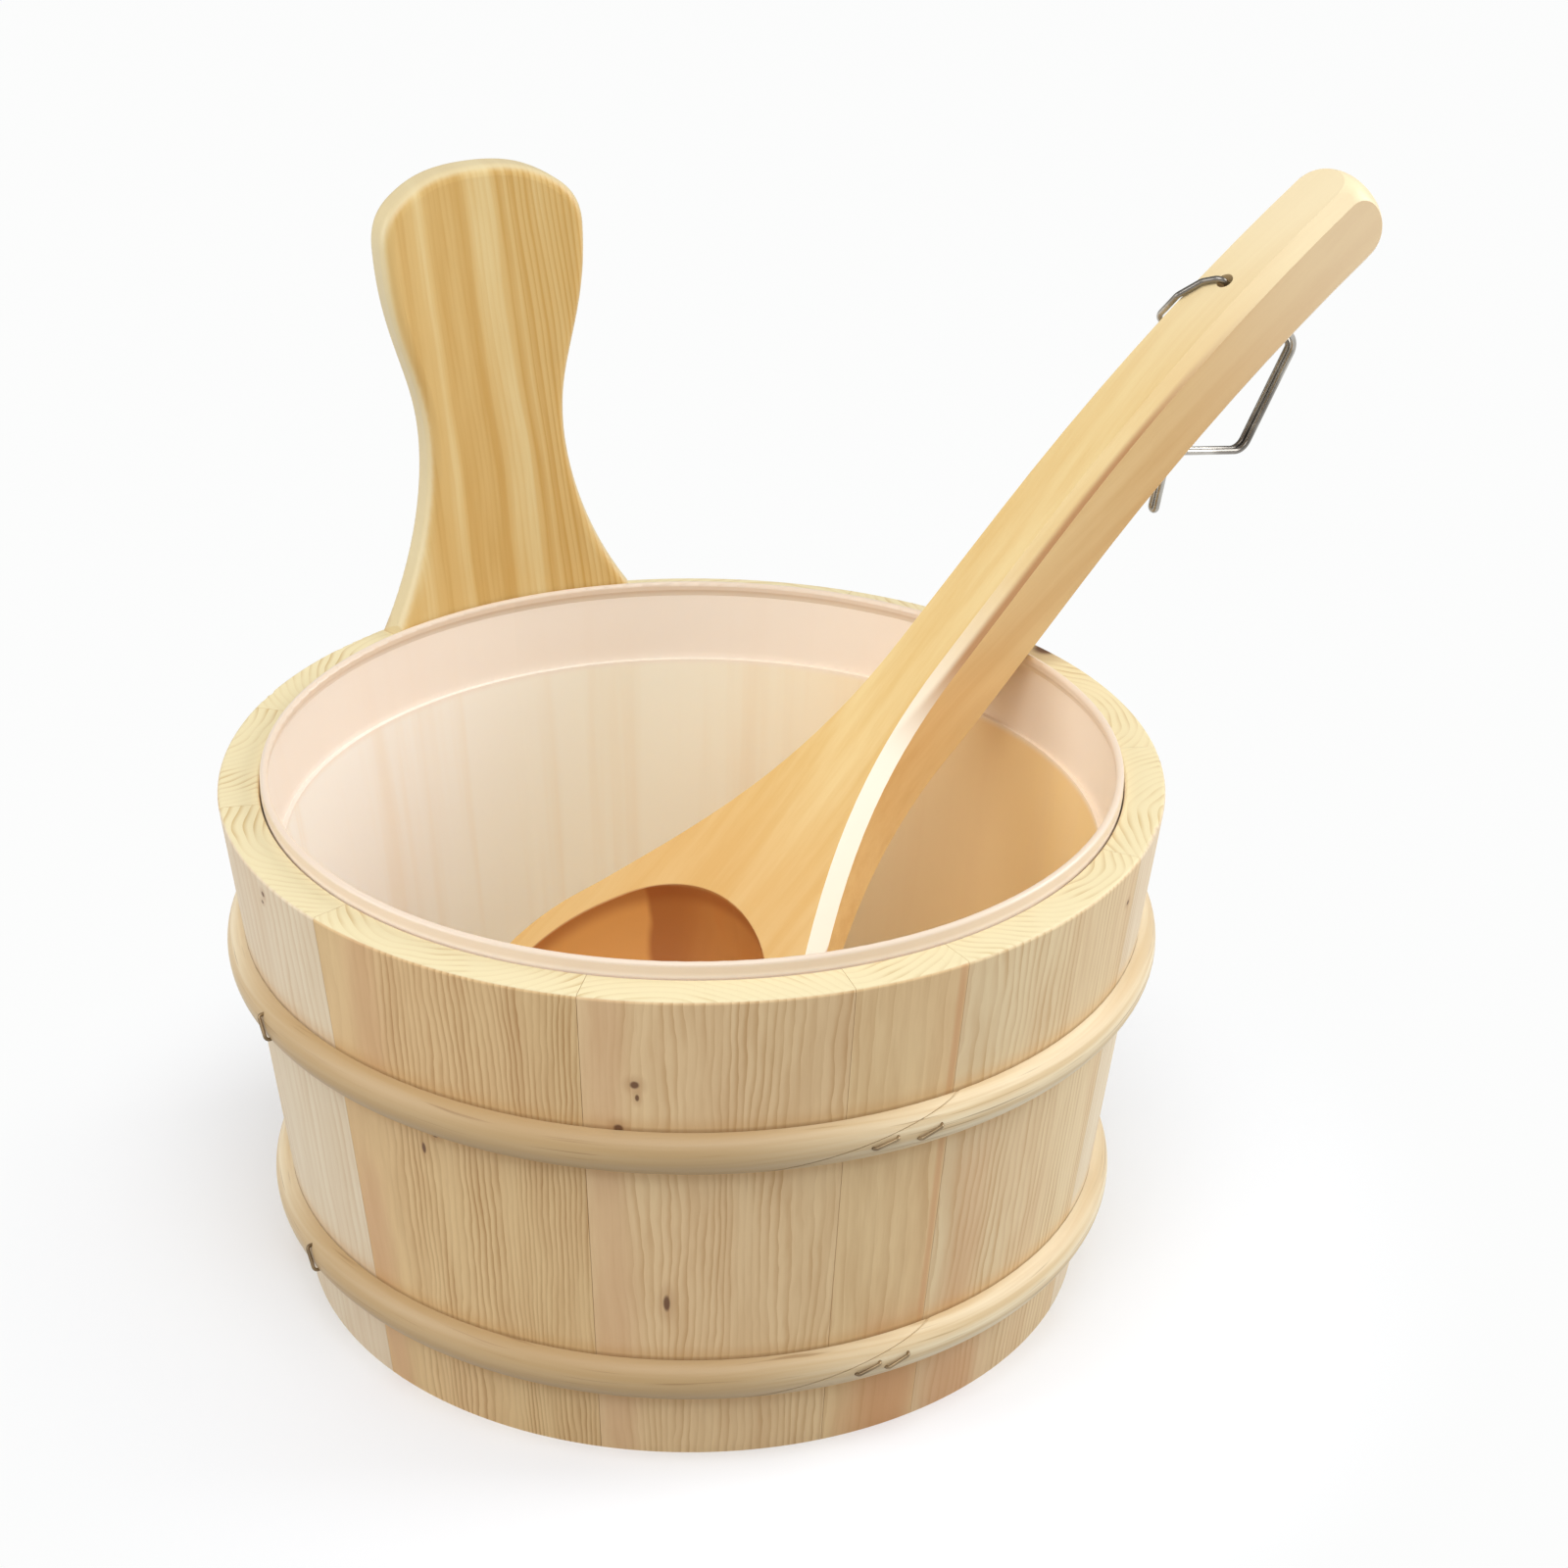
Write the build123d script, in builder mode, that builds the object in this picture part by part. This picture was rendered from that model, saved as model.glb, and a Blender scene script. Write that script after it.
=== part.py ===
from build123d import *
import os
from math import asin, atan2, cos, degrees, hypot, radians, sin, sqrt, tan

os.makedirs("parts", exist_ok=True)

# Staved wall, millimetres
mouth_d = 260.0
foot_d = 223.4
pail_height = 149.4
wall = 11.2
joint_gap = 0.12
edge_round = 1.0
handle_stave_width = 81.0
stave_arc_shares = (28.0, 28.0, 30.5, 35.0, 30.5, 14.0, 33.0, 30.0, 34.0, 29.0, 31.7)

# Place of the pail's axis on the floor, and where the handle stave stands
pail_x = -56.7
pail_y = -7.4
handle_azimuth = 90.0

# Paddle of the handle stave, heights measured up the slope from the rim
paddle_height = 134.1
paddle_waist_height = 63.0
paddle_waist_width = 45.6
paddle_head_height = 114.0
paddle_head_width = 64.6
paddle_corner_height = 129.0
paddle_corner_width = 46.0
paddle_round = 3.2
paddle_foot_lean = 36.0

# Bottom boards, held in a groove round the inside of the staves
board_lift = 5.0
board_thickness = 9.0
board_width = 72.0
croze_depth = 4.0
croze_clearance = 0.15

# Wooden hoops, heights of their lower edges
hoop_height = 12.0
hoop_bulge = 5.6
hoop_clearance = 0.06
upper_hoop_z = 97.0
lower_hoop_z = 21.0
hoop_lap_length = 60.0
hoop_lap_gap = 0.25
upper_lap_azimuth = 261.0
lower_lap_azimuth = 260.0

# Staples that pin the hoops, with the azimuth of each and the slant of its crown
staple_wire = 1.0
staple_crown = 7.0
staple_leg = 8.0
staple_stand = 0.2
staple_clearance = 0.05
staple_hole_spare = 0.4
upper_staple_azimuths = (181.5, 264.2, 269.8)
upper_staple_slants = (-50.0, 14.0, 18.0)
lower_staple_azimuths = (182.0, 264.8, 268.9)
lower_staple_slants = (-50.0, 16.0, 20.0)

# Plastic liner
liner_wall = 1.4
liner_clearance = 0.4
liner_slack = 2.2
liner_seat = 0.3
liner_proud = 4.0
liner_collar = 25.5
liner_step = 1.3
liner_corner = 7.0
liner_lip = 2.2
lip_round_share = 0.45

# Ladle head, measured square to its rim
ladle_head_r = 63.6
ladle_bowl_r = 50.6
ladle_bowl_depth = 38.5
ladle_head_depth = 46.0
ladle_side_depth = 11.5
ladle_bevel = 4.0
upright_share = 0.5

# Ladle handle, lengths along the head's plane from the bowl's centre
ladle_reach = 335.7
ladle_width = 27.2
ladle_end_width = 25.0
ladle_thickness = 26.3
ladle_bend_start = 27.0
ladle_bend_radius = 61.0
ladle_bend = 8.3
ladle_arch_start = 188.0
ladle_arch_radius = 690.0
ladle_neck_end = 142.0
ladle_neck_angle = 58.5
ladle_end_round = 11.0
ladle_round_inner = 4.5
ladle_round_length = 2.0
ladle_hole_d = 5.2
ladle_hole_inset = 53.0

# Where the ladle stands in the liner
ladle_azimuth = 5.7
ladle_head_back = 23.3
ladle_head_side = 7.7
ladle_rest_gap = 0.35

# Wire hook, its corners given along the handle from the hole and out from the handle's back
hook_wire_d = 1.9
hook_strand_pitch = 2.2
hook_rest_gap = 0.35
hook_side_gap = 0.5
hook_back_gap = 1.4
hook_bend_r = 5.0
hook_loop_r = 2.6
hook_turn_r = 1.05
hook_crest_along = 22.0
hook_crest_out = 7.0
hook_elbow_along = -24.0
hook_elbow_out = 26.0
hook_nip_along = -45.0
hook_nip_gap = 2.2
hook_tip_along = -60.0
hook_tip_out = 14.5
hook_split_along = 15.0
hook_front_along = -3.8
hook_front_side = 5.6
hook_edge_along = -11.0
hook_edge_side = 9.3
hook_wrap_along = -17.0
hook_edge_drop = 5.0
hook_end_gap = 0.6

overrun = 5.0

mouth_r = mouth_d / 2
foot_r = foot_d / 2
flare = (mouth_r - foot_r) / pail_height
slope = atan2(mouth_r - foot_r, pail_height)
pail_origin = (pail_x, pail_y, 0)
pail_axis = Axis(pail_origin, (0, 0, 1))
upper_staple_places = tuple(zip(upper_staple_azimuths, upper_staple_slants))
lower_staple_places = tuple(zip(lower_staple_azimuths, lower_staple_slants))


def outer_r(z):
    """Outside radius of the staved wall at a height."""
    return foot_r + flare * z


def inner_r(z):
    """Inside radius of the staved wall at a height."""
    return outer_r(z) - wall


def radial_plane(azimuth):
    """Upright plane through the pail's axis: x runs outwards and y runs up."""
    turn = radians(azimuth)
    return Plane(origin=pail_origin, x_dir=(cos(turn), sin(turn), 0), z_dir=(sin(turn), -cos(turn), 0))


def staple_centre(low, azimuth, slant):
    """Middle of a staple's crown, with the directions outwards and along the crown."""
    middle = low + hoop_height / 2
    turn = radians(azimuth)
    out = Vector(cos(turn), sin(turn), 0)
    level = Vector(-sin(turn), cos(turn), 0) * cos(radians(slant))
    crown_r = outer_r(middle) + hoop_bulge + staple_stand + staple_wire / 2
    centre = Vector(pail_x, pail_y, middle) + out * crown_r
    return centre, out, level + Vector(0, 0, sin(radians(slant)))


def drill_staple_holes():
    """Cut the holes that the legs of all staples are driven into, in the part being built."""
    mouths = []
    for low, places in ((upper_hoop_z, upper_staple_places), (lower_hoop_z, lower_staple_places)):
        for azimuth, slant in places:
            centre, out, run = staple_centre(low, azimuth, slant)
            mouths.append(Plane(origin=centre + run * (staple_crown / 2), z_dir=out))
            mouths.append(Plane(origin=centre - run * (staple_crown / 2), z_dir=out))
    with Locations(*mouths):
        Hole(staple_wire / 2 + staple_clearance, depth=staple_leg + staple_hole_spare)


def save(made, name):
    """Label a finished piece and write its STEP file."""
    made.part.label = name
    export_step(made.part, f"parts/{name}.step")


# Staves


def stave_blank(azimuth, arc):
    """One stave: the wall's section turned about the pail's axis, with the groove for the bottom boards."""
    groove_top = board_lift + board_thickness + croze_clearance
    groove_low = board_lift - croze_clearance
    with BuildPart() as made:
        with BuildSketch(radial_plane(azimuth)):
            with BuildLine():
                Polyline(
                    (inner_r(0), 0),
                    (outer_r(0), 0),
                    (outer_r(pail_height), pail_height),
                    (inner_r(pail_height), pail_height),
                    close=True,
                )
            make_face()
            fillet(vertices().group_by(Axis.Y)[-1], radius=edge_round)
            with BuildLine():
                Polyline(
                    (inner_r(groove_low) - overrun, groove_low),
                    (inner_r(groove_low) + croze_depth, groove_low),
                    (inner_r(groove_low) + croze_depth, groove_top),
                    (inner_r(groove_low) - overrun, groove_top),
                    close=True,
                )
            make_face(mode=Mode.SUBTRACT)
        revolve(axis=pail_axis, revolution_arc=arc)
        drill_staple_holes()
    return made


gap_arc = degrees(joint_gap / mouth_r)
handle_arc = 2 * degrees(asin(handle_stave_width / mouth_d))
share_arc = (360 - handle_arc) / sum(stave_arc_shares)
stave_start = handle_azimuth + handle_arc / 2
for number, share in enumerate(stave_arc_shares, start=2):
    stave = stave_blank(stave_start + gap_arc / 2, share * share_arc - gap_arc)
    save(stave, f"stave_{number:02d}")
    stave_start += share * share_arc

# Handle stave: the wall runs on above the rim and is sawn to a waisted paddle
paddle_foot = outer_r(pail_height) * sin(radians(handle_arc / 2))
paddle_top_z = pail_height + paddle_height * cos(slope)
handle_lower = stave_blank(handle_azimuth - handle_arc / 2 + gap_arc / 2, handle_arc - gap_arc)
with BuildPart() as handle_stave:
    with BuildSketch(radial_plane(handle_azimuth - handle_arc / 2 + gap_arc / 2)):
        with BuildLine():
            Polyline(
                (inner_r(pail_height), pail_height),
                (outer_r(pail_height), pail_height),
                (outer_r(paddle_top_z + overrun), paddle_top_z + overrun),
                (inner_r(paddle_top_z + overrun), paddle_top_z + overrun),
                close=True,
            )
        make_face()
    revolve(axis=pail_axis, revolution_arc=handle_arc - gap_arc)
    side_turn = radians(handle_azimuth)
    outward = (cos(side_turn), sin(side_turn), 0)
    sideways = (sin(side_turn), -cos(side_turn), 0)
    paddle_plane = Plane(origin=pail_origin, x_dir=sideways, z_dir=(-outward[0], -outward[1], 0))
    with BuildSketch(paddle_plane) as paddle_outline:
        with BuildLine():
            flank = Spline(
                (paddle_foot, pail_height),
                (paddle_waist_width / 2, pail_height + paddle_waist_height * cos(slope)),
                (paddle_head_width / 2, pail_height + paddle_head_height * cos(slope)),
                tangents=[(-sin(radians(paddle_foot_lean)), cos(radians(paddle_foot_lean))), (0, 1)],
            )
            crown = Spline(
                flank @ 1,
                (paddle_corner_width / 2, pail_height + paddle_corner_height * cos(slope)),
                (0, paddle_top_z),
                tangents=[(0, 1), (-1, 0)],
            )
            mirror(flank, about=Plane.YZ)
            mirror(crown, about=Plane.YZ)
            Line((-paddle_foot, pail_height), (paddle_foot, pail_height))
        make_face()
    extrude(amount=-(outer_r(paddle_top_z) + overrun), mode=Mode.INTERSECT)
    paddle_edges = edges().filter_by(lambda e: e.center().Z > pail_height + overrun)
    fillet(paddle_edges, radius=paddle_round)
    add(handle_lower.part)
save(handle_stave, "handle_stave")

# Bottom boards: a disc in the groove, sawn into three boards
board_r = inner_r(board_lift) + croze_depth - croze_clearance
for name, low, high in (
    ("bottom_board_left", -board_r - overrun, -board_width / 2 - joint_gap / 2),
    ("bottom_board_middle", -board_width / 2 + joint_gap / 2, board_width / 2 - joint_gap / 2),
    ("bottom_board_right", board_width / 2 + joint_gap / 2, board_r + overrun),
):
    with BuildPart() as bottom_board:
        with BuildSketch(Plane((pail_x, pail_y, board_lift))):
            Circle(board_r)
            with Locations(((low + high) / 2, 0)):
                Rectangle(high - low, 2 * board_r + overrun, mode=Mode.INTERSECT)
        extrude(amount=board_thickness)
    save(bottom_board, name)


# Hoops


def hoop(low, lap_azimuth):
    """Half-round wooden hoop bent round the wall, its ends meeting in a long slanted lap."""
    back_low = outer_r(low) + hoop_clearance
    back_high = outer_r(low + hoop_height) + hoop_clearance
    middle = low + hoop_height / 2
    lap_turn = radians(lap_azimuth)
    out = Vector(cos(lap_turn), sin(lap_turn), 0)
    along = Vector(-sin(lap_turn), cos(lap_turn), 0)
    rise = Vector(0, 0, hoop_height) + along * hoop_lap_length
    seat = Vector(pail_x, pail_y, middle) + out * outer_r(middle)
    with BuildPart() as made:
        with BuildSketch(radial_plane(lap_azimuth)):
            with BuildLine():
                Line((back_low, low), (back_high, low + hoop_height))
                ThreePointArc(
                    (back_high, low + hoop_height),
                    (outer_r(middle) + hoop_bulge, middle),
                    (back_low, low),
                )
            make_face()
        revolve(axis=pail_axis)
        with BuildSketch(Plane(origin=seat, x_dir=rise, z_dir=out)):
            Rectangle(rise.length + 2 * hoop_height, hoop_lap_gap)
        extrude(amount=2 * hoop_bulge, both=True, mode=Mode.SUBTRACT)
        drill_staple_holes()
    return made


upper_hoop = hoop(upper_hoop_z, upper_lap_azimuth)
save(upper_hoop, "upper_hoop")
lower_hoop = hoop(lower_hoop_z, lower_lap_azimuth)
save(lower_hoop, "lower_hoop")


def staples(low, places):
    """Wire staples driven through a hoop into the stave behind it."""
    with BuildPart() as made:
        for azimuth, slant in places:
            centre, out, run = staple_centre(low, azimuth, slant)
            ends = [centre + run * (staple_crown / 2), centre - run * (staple_crown / 2)]
            with BuildLine() as bend:
                FilletPolyline(
                    ends[0] - out * staple_leg,
                    ends[0],
                    ends[1],
                    ends[1] - out * staple_leg,
                    radius=staple_wire,
                )
            with BuildSketch(Plane(origin=bend.line @ 0, z_dir=bend.line % 0)):
                Circle(staple_wire / 2)
            sweep(path=bend.line)
    return made


upper_hoop_staples = staples(upper_hoop_z, upper_staple_places)
save(upper_hoop_staples, "upper_hoop_staples")
lower_hoop_staples = staples(lower_hoop_z, lower_staple_places)
save(lower_hoop_staples, "lower_hoop_staples")

# Liner: a tapered tub with a wider collar that stands proud of the wooden rim
liner_low = board_lift + board_thickness + liner_seat
liner_floor = liner_low + liner_wall
liner_top = pail_height + liner_proud
collar_low = liner_top - liner_collar
tub_low_r = inner_r(liner_low) - liner_slack
tub_high_r = inner_r(collar_low) - liner_clearance - liner_step
collar_low_r = inner_r(collar_low) - liner_clearance
collar_high_r = inner_r(pail_height) - liner_clearance
lip_r = collar_high_r - liner_lip / 2
with BuildPart() as liner:
    with BuildSketch(radial_plane(handle_azimuth)):
        with BuildLine():
            Polyline(
                (0, liner_low),
                (tub_low_r, liner_low),
                (tub_high_r, collar_low),
                (collar_low_r, collar_low),
                (collar_high_r, pail_height),
                (collar_high_r, liner_top),
                (collar_high_r - liner_lip, liner_top),
                (collar_high_r - liner_lip, liner_top - liner_lip),
                (collar_high_r - liner_wall, liner_top - 2 * liner_lip),
                (collar_low_r - liner_wall, collar_low + liner_wall),
                (tub_high_r - liner_wall, collar_low + liner_wall),
                (tub_low_r - liner_wall, liner_floor),
                (0, liner_floor),
                close=True,
            )
        make_face()
        fillet(vertices().group_by(Axis.Y)[-1], radius=liner_lip * lip_round_share)
        fillet(vertices().sort_by_distance((tub_low_r, liner_low))[0], radius=liner_corner)
        inner_corner = (tub_low_r - liner_wall, liner_floor)
        fillet(vertices().sort_by_distance(inner_corner)[0], radius=liner_corner - liner_wall)
    revolve(axis=pail_axis)
save(liner, "liner")

# Pitch of the ladle: the bowl's round underside rests on the liner's floor and the handle on its lip
under_drop = ladle_head_depth - ladle_side_depth
under_half = ladle_head_r - ladle_bevel
under_r = (under_half**2 + under_drop**2) / (2 * under_drop)
under_centre = under_r - ladle_head_depth
bend_turn = radians(ladle_bend)
bend_end_s = ladle_bend_start + ladle_bend_radius * sin(bend_turn)
bend_end_t = ladle_bend_radius * (1 - cos(bend_turn))
ball_to_back = (
    (under_centre - bend_end_t) * cos(bend_turn) + bend_end_s * sin(bend_turn) + ladle_thickness
)
lean_turn = radians(ladle_azimuth)
flat_half = ladle_width / 2 - ladle_bevel
lip_reach = min(
    sqrt(lip_r**2 - (ladle_head_side + flat_half) ** 2),
    sqrt(lip_r**2 - (ladle_head_side - flat_half) ** 2),
)
ball_z = liner_floor + ladle_rest_gap + under_r
lip_z = liner_top - liner_lip / 2


def back_angle(head_back):
    """Slope of the handle's back that clears the liner's lip, for a place of the ball's centre."""
    run = lip_reach + head_back
    drop = ball_z - lip_z
    reach = ball_to_back + liner_lip / 2 + ladle_rest_gap
    return asin(reach / hypot(run, drop)) - atan2(drop, run)


ladle_pitch = back_angle(ladle_head_back) - bend_turn
ball_back = ladle_head_back + under_centre * sin(ladle_pitch)
for _ in range(30):
    ladle_pitch = back_angle(ball_back) - bend_turn
    ball_back = ladle_head_back + under_centre * sin(ladle_pitch)
head_z = ball_z - under_centre * cos(ladle_pitch)
lean_out = Vector(cos(lean_turn), sin(lean_turn), 0)
lean_side = Vector(sin(lean_turn), -cos(lean_turn), 0)
ladle_run = lean_out * cos(ladle_pitch) + Vector(0, 0, sin(ladle_pitch))
ladle_up = Vector(0, 0, cos(ladle_pitch)) - lean_out * sin(ladle_pitch)
head_centre = (
    Vector(pail_x, pail_y, head_z) - lean_out * ladle_head_back - lean_side * ladle_head_side
)
ladle_plan = Plane(origin=head_centre, x_dir=ladle_run, z_dir=ladle_up)
ladle_profile = Plane(origin=head_centre, x_dir=ladle_run, z_dir=lean_side)

# Ladle: one piece, sawn to its side and plan outlines, bevelled, then domed below and hollowed above
arch_turn = degrees((ladle_reach - ladle_arch_start) / ladle_arch_radius)
arch_rise = (ladle_arch_start - bend_end_s) * tan(bend_turn)
neck_turn = radians(ladle_neck_angle)
neck_s = ladle_head_r * cos(neck_turn)
neck_w = ladle_head_r * sin(neck_turn)
blank_end = ladle_reach + overrun
blank_back = ladle_head_r + overrun
flat_back_end = (
    ladle_thickness / cos(bend_turn) - ladle_side_depth - bend_end_t + bend_end_s * tan(bend_turn)
) / tan(bend_turn)
hollow_r = (ladle_bowl_r**2 + ladle_bowl_depth**2) / (2 * ladle_bowl_depth)
hollow_centre = hollow_r - ladle_bowl_depth

with BuildLine() as handle_top:
    flat_top = Line((-blank_back, 0), (ladle_bend_start, 0))
    bend_top = JernArc(flat_top @ 1, flat_top % 1, ladle_bend_radius, ladle_bend)
    rise_top = Line(bend_top @ 1, (ladle_arch_start, bend_end_t + arch_rise))
    arch_top = JernArc(rise_top @ 1, rise_top % 1, ladle_arch_radius, -arch_turn)
end_run = arch_top % 1
end_down = end_run.rotate(Axis.Z, -90)


def handle_point(from_end, height, side):
    """Point by the handle: distance from its end, height over its top face, and place across it."""
    share = 1 - from_end / arch_top.length
    normal = (arch_top % share).rotate(Axis.Z, 90)
    local = (arch_top @ share) + normal * height
    return ladle_profile.from_local_coords(Vector(local.X, local.Y, side))


end_top = handle_point(0, 0, 0)
end_middle = handle_point(0, -ladle_thickness / 2, 0)
end_out = (end_top - handle_point(ladle_round_length, 0, 0)).normalized()
end_plane = Plane(origin=end_middle, x_dir=end_out, z_dir=lean_side)
hole_top = handle_point(ladle_hole_inset, 0, 0)
hole_back = handle_point(ladle_hole_inset, -ladle_thickness, 0)
hole_plane = Plane(origin=hole_top, x_dir=lean_side, z_dir=hole_top - hole_back)

with BuildPart() as ladle:
    with BuildSketch(ladle_profile):
        with BuildLine():
            add(handle_top.line)
            back_end = arch_top @ 1 + end_down * ladle_thickness
            Line(arch_top @ 1, back_end)
            arch_back = JernArc(back_end, end_run * -1, ladle_arch_radius - ladle_thickness, arch_turn)
            Polyline(
                arch_back @ 1,
                (flat_back_end, -ladle_side_depth),
                (-blank_back, -ladle_side_depth),
                (-blank_back, 0),
            )
        make_face()
    extrude(amount=blank_back, both=True)
    with BuildSketch(ladle_plan):
        with BuildLine():
            neck_curve = Spline(
                (neck_s, neck_w),
                (ladle_neck_end, ladle_width / 2),
                tangents=[(sin(neck_turn), -cos(neck_turn)), (1, 0)],
            )
            side_edge = Line(neck_curve @ 1, (blank_end, ladle_end_width / 2))
            mirror(neck_curve, about=Plane.XZ)
            mirror(side_edge, about=Plane.XZ)
            Line((blank_end, -ladle_end_width / 2), (blank_end, ladle_end_width / 2))
            Line((neck_s, -neck_w), (neck_s, neck_w))
        make_face()
        Circle(ladle_head_r)
    extrude(amount=blank_end, both=True, mode=Mode.INTERSECT)
    long_edges = edges().filter_by(lambda e: abs((e % 0.5).dot(ladle_up)) < upright_share)
    outline_edges = long_edges.filter_by(lambda e: (e @ 0.5 - end_middle).length > ladle_thickness)
    chamfer(outline_edges, length=ladle_bevel)
    with BuildSketch(ladle_profile):
        with BuildLine():
            ThreePointArc(
                (-under_half, -ladle_side_depth),
                (0, -ladle_head_depth),
                (under_half, -ladle_side_depth),
            )
            Line((under_half, -ladle_side_depth), (-under_half, -ladle_side_depth))
        make_face()
        Rectangle(blank_back, 2 * blank_back, align=(Align.MAX, Align.CENTER), mode=Mode.SUBTRACT)
    revolve(axis=Axis(head_centre, ladle_up))
    with BuildSketch(ladle_profile):
        with Locations((0, hollow_centre)):
            Circle(hollow_r)
        Rectangle(blank_back, 4 * blank_back, align=(Align.MAX, Align.CENTER), mode=Mode.SUBTRACT)
    revolve(axis=Axis(head_centre, ladle_up), mode=Mode.SUBTRACT)
    with BuildSketch(end_plane):
        with BuildLine():
            round_arc = CenterArc((-ladle_end_round, ladle_round_inner), ladle_end_round, 0, 90)
            Polyline(
                round_arc @ 0,
                (overrun, ladle_round_inner),
                (overrun, ladle_thickness),
                (-ladle_end_round, ladle_thickness),
                round_arc @ 1,
            )
        make_face()
    revolve(axis=Axis(end_middle, end_out), mode=Mode.SUBTRACT)
    with BuildSketch(hole_plane):
        Circle(ladle_hole_d / 2)
    extrude(amount=ladle_thickness + overrun, both=True, mode=Mode.SUBTRACT)
save(ladle, "ladle")

# Wire hook: one wire doubled back on itself, through the hole and round the left edge of the handle
wire_r = hook_wire_d / 2
top_run = wire_r + hook_rest_gap
side_run = ladle_width / 2 + wire_r + hook_side_gap
back_run = -(ladle_thickness + wire_r + hook_back_gap)
nip_run = -(ladle_thickness + wire_r + hook_nip_gap)
elbow_run = -(ladle_thickness + hook_elbow_out)
tip_run = -(ladle_thickness + hook_tip_out)
crest_run = -(ladle_thickness + hook_crest_out)


def hook_point(along, height, side):
    """Corner of the wire: distance up the handle from the hole, height over the top face, side."""
    return handle_point(ladle_hole_inset - along, height, side)


split_share = (hook_split_along - hook_elbow_along) / (hook_crest_along - hook_elbow_along)
split_run = elbow_run + split_share * (crest_run - elbow_run)
split = hook_point(hook_split_along, split_run, -hook_strand_pitch)
turn_in = hook_point(hook_wrap_along, back_run, -side_run)
butt = (split + turn_in) * 0.5
butt_run = (turn_in - split).normalized()
with BuildPart() as ladle_hook:
    with BuildLine() as wire:
        FilletPolyline(
            butt - butt_run * (hook_end_gap / 2),
            split,
            hook_point(hook_elbow_along, elbow_run, -hook_strand_pitch),
            hook_point(hook_nip_along, nip_run, -hook_strand_pitch),
            hook_point(hook_tip_along, tip_run, -hook_strand_pitch),
            hook_point(hook_tip_along, tip_run, 0),
            hook_point(hook_nip_along, nip_run, 0),
            hook_point(hook_elbow_along, elbow_run, 0),
            hook_point(hook_crest_along, crest_run, 0),
            hook_point(0, back_run, 0),
            hook_point(0, top_run, 0),
            hook_point(hook_front_along, top_run, -hook_front_side),
            hook_point(hook_edge_along, top_run, -hook_edge_side),
            hook_point(hook_wrap_along, top_run - hook_edge_drop, -side_run),
            turn_in,
            butt + butt_run * (hook_end_gap / 2),
            radius=(hook_loop_r,)
            + (hook_bend_r,) * 2
            + (hook_turn_r,) * 2
            + (hook_bend_r,) * 3
            + (hook_loop_r,) * 6,
        )
    with BuildSketch(Plane(origin=wire.line @ 0, z_dir=wire.line % 0)):
        Circle(wire_r)
    sweep(path=wire.line)
save(ladle_hook, "ladle_hook")
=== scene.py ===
"""Finishes, light and camera for a staved wooden piggin with its liner, ladle and wire hook."""

import logging
import math
from dataclasses import dataclass
from enum import Enum
from typing import Iterable, Optional, Sequence, Union

import bpy
from mathutils import Matrix, Vector


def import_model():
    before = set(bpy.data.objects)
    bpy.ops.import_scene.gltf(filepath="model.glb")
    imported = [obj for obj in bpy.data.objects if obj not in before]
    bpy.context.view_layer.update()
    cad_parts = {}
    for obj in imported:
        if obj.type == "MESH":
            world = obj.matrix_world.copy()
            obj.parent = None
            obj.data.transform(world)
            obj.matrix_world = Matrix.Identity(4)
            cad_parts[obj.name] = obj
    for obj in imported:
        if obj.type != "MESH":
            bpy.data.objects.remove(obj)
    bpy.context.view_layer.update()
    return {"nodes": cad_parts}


Socket = bpy.types.NodeSocket
Value = Union[float, Sequence[float], Socket]
Triple = tuple[float, float, float]
Colour = Triple
Span = tuple[float, float]
Nodes = dict[str, bpy.types.Object]

logging.basicConfig(level=logging.INFO, format="%(name)s: %(message)s")
LOG = logging.getLogger("piggin")

# The pail in metres: its axis, the wall's outer radii at mouth and foot, its height, and the hoops' edges
PAIL_X = -0.0567
PAIL_Y = -0.0074
PAIL_AXIS = (PAIL_X, PAIL_Y, 0.0)
MOUTH_R = 0.130
FOOT_R = 0.1117
PAIL_H = 0.1494
LOWER_HOOP = (0.021, 0.033)
UPPER_HOOP = (0.097, 0.109)

# Degrees that the camera stands round the pail from -Y, which is also the azimuth of its right hand
CAMERA_TURN = -27.7

# Scale at which the wave texture gives one line per unit
WAVE_PERIOD = math.pi / 10


def srgb(red: int, green: int, blue: int) -> Colour:
    """Turn an 8-bit display colour into the linear values that shaders take.

    Args:
        red, green, blue: the colour as a screen shows it, 0 to 255.

    Returns:
        The linear colour.
    """
    def linear(value: int) -> float:
        """Return one channel's linear value."""
        share = value / 255
        return share / 12.92 if share <= 0.04045 else ((share + 0.055) / 1.055) ** 2.4
    return linear(red), linear(green), linear(blue)


def level_way(azimuth: float) -> Triple:
    """Return the level direction at an azimuth in degrees."""
    turn = math.radians(azimuth)
    return math.cos(turn), math.sin(turn), 0.0


class Reading(Enum):
    """What a material reads of the point that it colours."""

    PLACE = "Object"
    FACING = "Normal"


class Ease(Enum):
    """How a number is mapped between the ends of a range."""

    SMOOTH = "SMOOTHSTEP"
    STRAIGHT = "LINEAR"


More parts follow.
